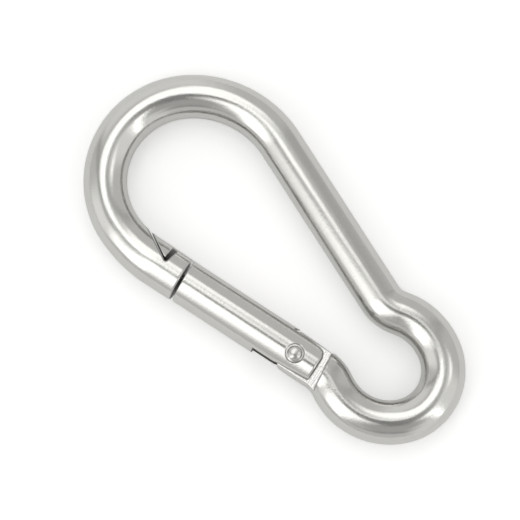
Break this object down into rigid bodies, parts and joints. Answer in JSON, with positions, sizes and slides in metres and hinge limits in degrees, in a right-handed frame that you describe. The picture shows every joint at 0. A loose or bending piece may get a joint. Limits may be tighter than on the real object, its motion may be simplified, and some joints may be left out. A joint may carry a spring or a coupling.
{
  "type": "spring snap hook",
  "caption": "Pear-shaped spring snap hook bent from round steel bar, with a sprung gate that opens inward and latches with a toothed tongue in the slotted beak.",
  "frame": {"origin": "middle of the closed hook's bounding box, halfway through the bar's thickness", "axes": "+X from the big eye to the small eye, +Y from the gate side to the solid spine, +Z square to the plane of the hook"},
  "size_m": [0.08, 0.0392, 0.0082],
  "materials": {
    "polished_steel": "polished stainless steel",
    "ground_steel": "polished stainless steel with faint turning marks",
    "pin_steel": "turned stainless steel",
    "spring_steel": "drawn spring wire"
  },
  "bodies": {
    "hook": {"body": "polished_steel"},
    "gate": {"gate": "ground_steel", "hinge_rivet": "pin_steel", "gate_spring": "spring_steel"},
    "plunger": {"gate_plunger": "pin_steel"}
  },
  "joints": [
    {"name": "gate_hinge", "type": "hinge", "parent": "hook", "child": "gate", "pos_m": [0.0132, -0.01021, 0], "axis": [0, 0, -1], "range_deg": [0, 40], "stiffness_Nm_per_rad": 0.05, "springref_deg": -20.05},
    {"name": "plunger_slide", "type": "slide", "parent": "gate", "child": "plunger", "axis": [-0.9836, -0.1805, 0], "range_m": [0, 0.00095], "deforming": ["gate_spring"]}
  ],
  "couplings": [
    {"joint": "plunger_slide", "follows": "gate_hinge", "m_per_rad": 0.00135}
  ]
}
